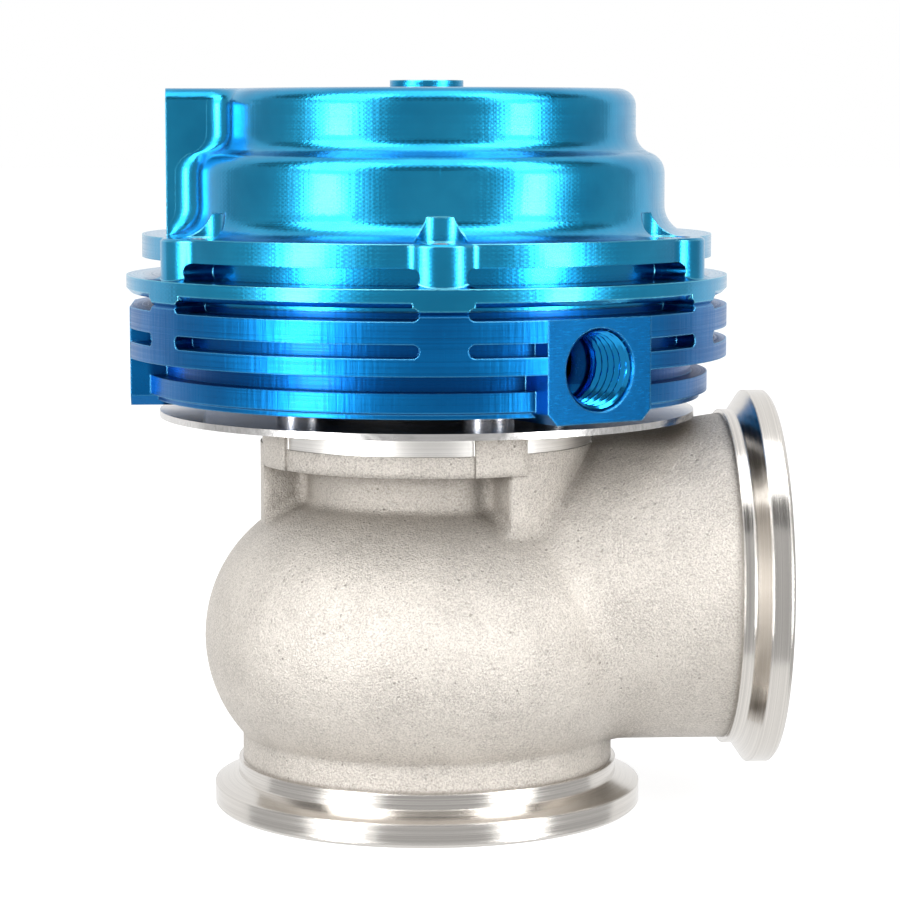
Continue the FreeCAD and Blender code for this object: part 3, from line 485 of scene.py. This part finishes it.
def thread_sleeve(name, angle, flat, height, core, mouth, deep, pitch, tall):
    """A cut thread as a ring of metal in its bore. At depth s and turn t its inner radius is the
    larger of the mouth's cone, core + mouth - s, and core + tall * h, where h is a flat-topped
    triangle wave of s / pitch + t that dies away over the last turn. Outside it is a cylinder."""
    steps_round, steps_pitch, play = 96, 18, 0.02 * mm
    turns = np.linspace(0, 1, steps_round + 1)[:-1]
    depth = np.linspace(0, deep, int(deep / pitch * steps_pitch))
    t, s = np.meshgrid(turns, depth, indexing="ij")
    wave = np.abs(2 * np.mod(s / pitch + t, 1.0) - 1)
    ridge = np.clip((wave - 0.14) / 0.7, 0, 1) * np.clip((deep - s) / pitch - 0.4, 0, 1)
    inner = np.maximum(core + mouth - s, core + tall * ridge)
    radius = np.hstack([inner, np.full((steps_round, 2), core + mouth + play)])
    along = flat - np.hstack([s, np.full((steps_round, 1), deep), np.zeros((steps_round, 1))])
    out, across, up = port_frame(angle)
    turn = 2 * np.pi * turns[:, None]
    points = (along[..., None] * out + (radius * np.cos(turn))[..., None] * across
              + (radius * np.sin(turn))[..., None] * up)
    points[..., 2] += height
    faces = grid_faces(*radius.shape, ring=True)
    return mesh_piece(name, points.reshape(-1, 3), faces[:, ::-1], 25.0)


body = smooth_skin("actuator_body", "blue_body")
for material in (deep_blue, shaded_flat_blue):
    body.data.materials.append(material)
port_height = 72.05 * mm
port_flat, port_half = 46.15 * mm, 9.3 * mm         # the milled flat's distance out and its half width
port_core, port_mouth, port_deep = 5.25 * mm, 0.95 * mm, 10.6 * mm
port_pitch, port_tall = 1.5 * mm, 0.75 * mm
port_angles = (30.0, 150.0, 270.0)
thread_short = 0.05 * mm    # a thread stops this far above its bore's end

centre = read_points(body.data.polygons, "center")
milled = np.zeros(len(centre), dtype=np.int32)
for angle in port_angles:
    out, across, _ = port_frame(angle)
    milled[(np.abs(centre @ out - port_flat) < 0.02 * mm) & (np.abs(centre @ across) < port_half)] = 1
body.data.polygons.foreach_set("material_index", milled)
for number, angle in enumerate(port_angles):
    open_bore(body, angle, port_flat, port_height, port_core, port_deep, port_core + port_mouth)
    sleeve = thread_sleeve(f"port_thread_{number + 1}", angle, port_flat, port_height, port_core,
                           port_mouth, port_deep - thread_short, port_pitch, port_tall)
    sleeve.data.materials.append(lit_thread_blue)
    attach(sleeve, "housing")
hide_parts("actuator_body")
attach(body, "housing")


# Actuator cap. Turned and ball-milled from aluminium, polished and anodised a lighter blue,
# and held by six socket head screws in lobes round its rim.

# dark, light, the groove floors' painted shade, the edges' painted highlight, roughnesses and coat
light_finish = ((0.010, 0.25, 0.48), (0.020, 0.35, 0.62), (0.006, 0.22, 0.46), (0.30, 0.86, 0.97),
                0.16, 0.25, 0.15)
light_blue = anodised_material("light blue anodising", *light_finish, Chatter=0.6, Scallop=0.14, Depth=0.8)
swept_blue = anodised_material("light blue on the sweeps", *light_finish, Chatter=0.6, Scallop=0.14,
                               Depth=0.8, Edge=0.01 * mm)

pad_low, pad_r, pad_share = 112.85 * mm, 8.05 * mm, 0.72   # the round pad on top is drawn in by this share
cap_port_angle, cap_port_height, cap_port_flat = 270.0, 101.9 * mm, 40.4 * mm
cap_port_core, cap_port_mouth, cap_port_deep = 4.3 * mm, 0.8 * mm, 6.5 * mm
cap_port_pitch, cap_port_tall = 0.94 * mm, 0.55 * mm

cap = smooth_skin("actuator_cap", "blue_cap")
points = read_points(cap.data.vertices, "co")
pad = (points[:, 2] > pad_low) & (np.hypot(points[:, 0], points[:, 1]) < pad_r)
points[pad, :2] *= pad_share
cap.data.vertices.foreach_set("co", points.reshape(-1))
cap.data.materials.append(light_blue)
open_bore(cap, cap_port_angle, cap_port_flat, cap_port_height, cap_port_core, cap_port_deep,
          cap_port_core + cap_port_mouth)
cap_thread = thread_sleeve("cap_port_thread", cap_port_angle, cap_port_flat, cap_port_height, cap_port_core,
                           cap_port_mouth, cap_port_deep - thread_short, cap_port_pitch, cap_port_tall)
cap_thread.data.materials.append(light_blue)
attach(cap_thread, "housing")
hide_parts("actuator_cap")
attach(cap, "housing")


# The bell's profile, in millimetres.
flange_high = 90.6          # upper face of the cap's flange
flare_r, flare_high = 4.4, 94.9
wide_r, wide_high = 37.2, 99.8
bend_r = 3.4                # both arcs of the S between the tiers
narrow_r, narrow_high = 32.65, 110.2
edge_r, cap_high = 2.7, 112.88
bend_apart = 2 * bend_r - (wide_r - narrow_r)       # the arcs' middles, across the axis
narrow_low = wide_high + np.sqrt((2 * bend_r) ** 2 - bend_apart ** 2)

# The port slab on the bell, in millimetres.
slab_half = 9.3             # half its width
slab_edge, slab_edge_low = 2.4, 110.5
slab_reach = 40.2           # how far from the axis the sweeps may reach


def arc(radius, offset):
    """How far a circle of that radius stands off its own diameter at that offset along it."""
    return np.sqrt(np.maximum(radius ** 2 - offset ** 2, 0))


def bell_radius(z):
    """The bell's radius at each height: a flare off the flange, the wide tier, an S of two
    arcs, the narrow tier and a rounded edge."""
    flare = wide_r + flare_r - arc(flare_r, flare_high - z)
    shoulder = wide_r - bend_r + arc(bend_r, z - wide_high)
    neck = narrow_r + bend_r - arc(bend_r, narrow_low - z)
    edge = narrow_r - edge_r + arc(edge_r, z - narrow_high)
    ends = (flare_high, wide_high, (wide_high + narrow_low) / 2, narrow_low, narrow_high)
    return np.select([z < end for end in ends], [flare, wide_r, shoulder, neck, narrow_r], edge)


def boss_sweep(name, side):
    """The concave sweep between the port slab and the bell. At height z it is the arc that
    touches the slab's side, y = h(z), and the bell's circle R(z): its radius r is at most the
    largest and its middle lies at y = h + r, at distance R + r from the axis. The section is
    closed by one point that is sunk into the slab and the bell."""
    smallest, largest, sunk = 0.25, 4.0, 0.5
    spans = ((flange_high, flare_high, 24), (flare_high + 0.2, wide_high - 0.1, 8), (wide_high, 106.2, 40),
             (106.6, narrow_high - 0.1, 6), (narrow_high, cap_high, 20))
    z = np.concatenate([np.linspace(*span) for span in spans])
    bell = bell_radius(z)
    half = np.where(z < slab_edge_low, slab_half, slab_half - slab_edge + arc(slab_edge, z - slab_edge_low))
    r = np.clip((slab_reach ** 2 - bell ** 2 + half ** 2) / (2 * (bell - half)), smallest, largest)
    middle_y = half + r
    middle_x = np.sqrt((bell + r) ** 2 - middle_y ** 2)
    last = np.arctan2(middle_y, middle_x)
    turn = np.pi / 2 + (last - np.pi / 2)[:, None] * np.linspace(0, 1, 20)[None, :]
    x = -middle_x[:, None] + r[:, None] * np.cos(turn)
    y = -middle_y[:, None] + r[:, None] * np.sin(turn)
    x = np.hstack([x, sunk - np.sqrt(bell ** 2 - half ** 2)[:, None]])
    y = np.hstack([y, sunk - half[:, None]]) * side
    points = np.stack([x, y, np.repeat(z[:, None], x.shape[1], axis=1)], axis=-1) * mm
    faces = grid_faces(*x.shape)[:, [0, 3, 2, 1]][:, ::-side]
    first = np.arange(x.shape[1])
    ends = [list(first[::side]), list((x.size - x.shape[1] + first)[::-side])]
    return mesh_piece(name, points.reshape(-1, 3), faces.tolist() + ends, 40.0)


for name, side in (("boss_sweep_front", 1), ("boss_sweep_rear", -1)):
    sweep = boss_sweep(name, side)
    sweep.data.materials.append(swept_blue)
    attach(sweep, "housing")

screws = smooth_skin("cap_screws", "cap_screw_set")
screws.data.materials.append(bright_steel)
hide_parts("cap_screws")
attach(screws, "housing")


# Cover, seals and clip inside the body. The aluminium ring closes the coolant channel; two
# rubber rings, a filled PTFE lip seal, its washer and a wire clip keep gas and water apart.

bare_aluminium = turned_material("bare aluminium", (0.66, 0.67, 0.68), (0.80, 0.81, 0.82), 0.22, 0.36)
rubber = moulded_material("seal rubber", (0.010, 0.010, 0.010), (0.028, 0.027, 0.026), 0.5, 0.7,
                          0.3 * mm, 0.02 * mm)
filled_ptfe = moulded_material("bronze-filled PTFE", (0.22, 0.14, 0.08), (0.36, 0.25, 0.15), 0.4, 0.55,
                               0.4 * mm, 0.02 * mm)
node_material("jacket_cover", bare_aluminium)
node_material("jacket_oring_outer", rubber)
node_material("jacket_oring_inner", rubber)
node_material("stem_seal", filled_ptfe)
node_material("seal_retainer", bright_steel)
node_material("seal_circlip", bright_steel)


# Plate, cup, washer and nut. They clamp the diaphragm to the valve's stem and seat the springs.

node_material("diaphragm_plate", bare_aluminium)
node_material("spring_cup", bare_aluminium)
node_material("stem_washer", bright_steel)
node_material("stem_nut", bright_steel)


# Diaphragm. Woven aramid moulded in red silicone, with one rolled fold; its rim is clamped
# between cap and body and its middle rises with the valve.

red_silicone = moulded_material("red silicone", (0.16, 0.02, 0.015), (0.26, 0.035, 0.025), 0.4, 0.55,
                                0.5 * mm, 0.03 * mm)
sheet = 1.2                 # millimetres, as the other sizes of the diaphragm
roll_in, roll_out = 28.0, 33.4
rim, rim_low, disc_low, crest = 38.0, 80.0, 78.9, 81.2
disc_bore = 3.12
sectors, steps = 12, 9


def diaphragm_outline():
    """Once round the sheet's section as (r, z): out under the flat disc, up the inner leg, over
    the roll, down to the rim, and back at one thickness above."""
    turn = np.linspace(np.pi, 0, 25)
    middle, half = (roll_in + roll_out) / 2, (roll_out - roll_in) / 2
    bend = np.stack([np.cos(turn), np.sin(turn)], axis=-1)
    under = (middle, crest) + (half - sheet / 2) * bend
    over = (middle, crest) + (half + sheet / 2) * bend
    disc = np.linspace(disc_bore, roll_in - sheet / 2, 12)
    legs = np.linspace(disc_low, crest, 5)[:-1]
    low = [(r, disc_low) for r in disc] + [(roll_in + sheet / 2, z) for z in legs]
    rims = [(roll_out - sheet / 2, rim_low), (rim, rim_low), (rim, rim_low + sheet)]
    high = [(roll_in - sheet / 2, z) for z in legs[::-1] if z > disc_low + sheet]
    return np.vstack([low, under, rims, over[::-1], high, [(r, disc_low + sheet) for r in disc[::-1]]])


r, z = diaphragm_outline().T * mm
first = np.arange(len(r))
last = first + (steps - 1) * len(r)
for number in range(sectors):
    middle = 2 * np.pi * number / sectors
    turn = middle + np.linspace(-1, 1, steps) * np.pi / sectors
    x, y = np.outer(np.cos(turn), r), np.outer(np.sin(turn), r)
    points = np.stack([x, y, np.tile(z, (steps, 1))], axis=-1)
    faces = grid_faces(steps, len(r)).tolist() + [first.tolist(), last[::-1].tolist()]
    sector = mesh_piece(f"diaphragm_sector_{number + 1:02d}", points.reshape(-1, 3), faces)
    sector.data.materials.append(red_silicone)
    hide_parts("diaphragm")
    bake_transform(sector)


# Springs. Three nested coils of shot-peened wire, wound closed at both ends and ground flat,
# between the cup and the cap's roof.

spring_low, spring_high = 81.9 * mm, 108.3 * mm
spring_wire = turned_material("peened spring wire", (0.24, 0.24, 0.25), (0.40, 0.40, 0.41), 0.34, 0.5)


def coil(name, mean, wire, turns):
    """A round wire carried along a helix. At turn t its middle is at height
    low + rise * clip((t - flat) / (turns - 2 * flat), 0, 1), so the end coils lie flat, and
    what would pass the end planes is ground off by limiting the height."""
    steps, sides, flat, play = int(turns * 72), 20, 0.7, 0.02 * mm
    t = np.linspace(0, turns, steps)
    low, high = spring_low + wire, spring_high - wire
    middle = low + (high - low) * np.clip((t - flat) / (turns - 2 * flat), 0, 1)
    turn = 2 * np.pi * t
    section = 2 * np.pi * np.arange(sides) / sides
    radius = mean + wire * np.cos(section)[None, :]
    height = middle[:, None] + wire * np.sin(section)[None, :]
    height = np.clip(height, spring_low + play, spring_high - play)
    points = np.stack([radius * np.cos(turn)[:, None], radius * np.sin(turn)[:, None], height], axis=-1)
    ends = np.array([points[0].mean(axis=0), points[-1].mean(axis=0)])
    tip = steps * sides
    near = np.arange(sides)
    after = np.roll(near, -1)
    faces = grid_faces(steps, sides).tolist()
    faces += [[b, a, tip] for a, b in zip(near, after)]
    faces += [[a, b, tip + 1] for a, b in zip(near + tip - sides, after + tip - sides)]
    return mesh_piece(name, np.vstack([points.reshape(-1, 3), ends]), faces)


for name, mean, wire, turns in (("spring_outer", 22.4, 1.6, 4.6), ("spring_middle", 16.95, 1.35, 5.4),
                                ("spring_inner", 11.95, 1.15, 6.2)):
    spring = coil(name.replace("spring", "coil"), mean * mm, wire * mm, turns)
    spring.data.materials.append(spring_wire)
    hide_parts(name)
    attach(spring, "housing")
    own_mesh(spring)


# Floor, light and camera. A pale floor, nested soft boxes and a high one at each side, a square
# one above and two grey cards round them, which give the polished walls their darker parts.

floor = mesh_piece("floor", [(-6, -6, 0), (6, -6, 0), (6, 6, 0), (-6, 6, 0)], [(0, 1, 2, 3)])
paper, tree, shader = new_material("pale floor", (0.8, 0.8, 0.8), 0.0, 0.9, Specular_IOR_Level=0.0)
camera_ray = add(tree, "LightPath").outputs["Is Camera Ray"]
floor_grey = ramp(tree, camera_ray, 0.0, 1.0, (0.80, 0.80, 0.80), (0.30, 0.30, 0.30))
tree.links.new(floor_grey, shader.inputs["Base Color"])
shader.inputs["Emission Color"].default_value = (1, 1, 1, 1)
tree.links.new(math_node(tree, "MULTIPLY", camera_ray, 0.86), shader.inputs["Emission Strength"])
floor.data.materials.append(paper)
floor.visible_glossy = False

scene = bpy.context.scene
world = bpy.data.worlds.new("studio")
scene.world = world
world.use_nodes = True
tree = world.node_tree
paths = add(tree, "LightPath")
seen = math_node(tree, "MAXIMUM", paths.outputs["Is Camera Ray"], paths.outputs["Is Glossy Ray"])
seen = math_node(tree, "MAXIMUM", seen, paths.outputs["Is Transmission Ray"])
strength = add(tree, "MapRange", Value=seen, To_Min=0.55, To_Max=1.0).outputs[0]
tree.nodes["Background"].inputs["Color"].default_value = (1, 1, 1, 1)
tree.links.new(strength, tree.nodes["Background"].inputs["Strength"])


def lamp(name, azimuth, distance, height, wide, tall, power):
    """A soft box at an azimuth from the front towards +X, facing the object's middle."""
    turn = np.radians(azimuth)
    data = bpy.data.lights.new(name, "AREA")
    data.shape, data.size, data.size_y, data.energy = "RECTANGLE", wide, tall, power
    box = bpy.data.objects.new(name, data)
    box.location = (distance * np.sin(turn), -distance * np.cos(turn), height)
    box.rotation_euler = (Vector((0, 0, 0.06)) - box.location).to_track_quat("-Z", "Y").to_euler()
    scene.collection.objects.link(box)


for side, azimuth, width, power in (("left", -50.0, 0.80, 1.0), ("right", 48.5, 0.66, 0.85)):
    lamp(side + " box", azimuth, 1.0, 0.22, width, 1.2, 2.4 * power)
    lamp(side + " middle", azimuth, 0.98, 0.22, 0.57 * width, 1.0, 3.1 * power)
    lamp(side + " core", azimuth, 0.96, -0.06, 0.32 * width, 0.7, 6.2 * power)
    lamp(side + " high box", 1.15 * azimuth, 0.66, 0.86, 0.66 * width, 0.6, 6.0 * power)
lamp("top box", 0.0, 0.25, 1.1, 0.8, 0.8, 3.0)


def card(name, low, high, glow):
    """A card round the lamps, an upright band of a cylinder that only reflections see."""
    radius, reach, steps = 1.25, 113, 41
    turn, rise = np.meshgrid(np.radians(np.linspace(-reach, reach, steps)), [low, high], indexing="ij")
    points = np.stack([radius * np.sin(turn), -radius * np.cos(turn), rise], axis=-1)
    piece = mesh_piece(name, points.reshape(-1, 3), grid_faces(steps, 2)[::2])
    grey = new_material(name + " grey", (0.0, 0.0, 0.0), 0.0, 1.0, Specular_IOR_Level=0.0,
                        Emission_Color=(1, 1, 1, 1), Emission_Strength=glow)[0]
    piece.data.materials.append(grey)
    piece.visible_camera = piece.visible_diffuse = piece.visible_shadow = False


card("card_low", -1.2, 0.95, 0.55)
card("card_high", 0.95, 2.1, 0.16)

camera_place = (-0.0247, -0.4720, 0.1084)
forward = Vector((0.0596, 0.9921, -0.1099)).normalized()
right = forward.cross(Vector((0, 0, 1))).normalized()
up = right.cross(forward)
optics = bpy.data.cameras.new("camera")
optics.sensor_width, optics.lens = 36.0, 120.2
camera = bpy.data.objects.new("camera", optics)
camera.matrix_world = (Matrix.Translation(camera_place)
                       @ Matrix((right, up, -forward)).transposed().to_4x4())
scene.collection.objects.link(camera)
scene.camera = camera
scene.view_settings.view_transform = "Standard"
